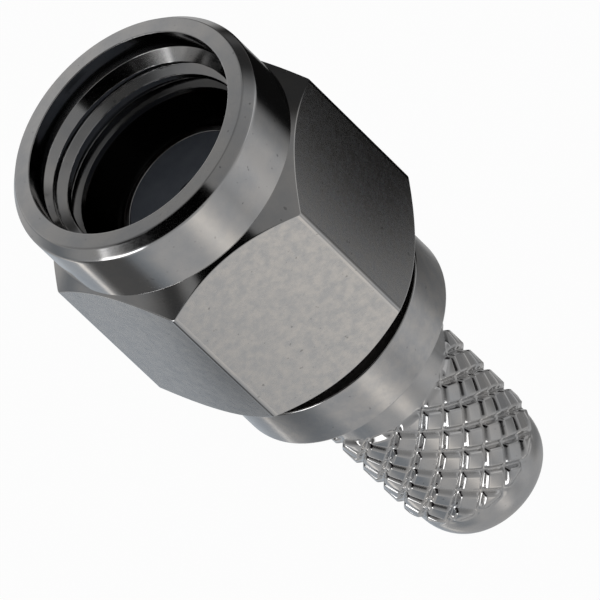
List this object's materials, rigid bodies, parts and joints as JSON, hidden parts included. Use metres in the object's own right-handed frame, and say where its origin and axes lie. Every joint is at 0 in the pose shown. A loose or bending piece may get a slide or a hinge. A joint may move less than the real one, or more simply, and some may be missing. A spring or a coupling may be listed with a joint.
{
  "type": "coaxial crimp plug",
  "caption": "Straight coaxial cable plug with a free-turning hexagon coupling nut, recessed insulator face and diamond-knurled crimp stem.",
  "frame": {"origin": "centre of the crimp stem's end face, which is the lowest face of the plug", "axes": "+Z along the plug's axis, out of the mating end; +X through the middle of one flat of the hexagon"},
  "size_m": [0.008, 0.0092, 0.0191],
  "materials": {
    "nickel": "nickel-plated brass, fine turned and milled satin",
    "gold": "gold-plated brass, bright",
    "bronze": "phosphor bronze spring strip, satin",
    "insulator": "machined fluoropolymer, matte",
    "gasket": "moulded silicone, matte"
  },
  "bodies": {
    "plug_body": {"body": "nickel", "insulator": "insulator", "centre_contact": "gold", "retaining_ring": "bronze", "gasket": "gasket"},
    "nut": {"coupling_nut": "nickel"}
  },
  "joints": [
    {"name": "nut_turn", "type": "hinge", "parent": "plug_body", "child": "nut", "pos_m": [0, 0, 0.01475], "axis": [0, 0, 1], "continuous": true}
  ]
}
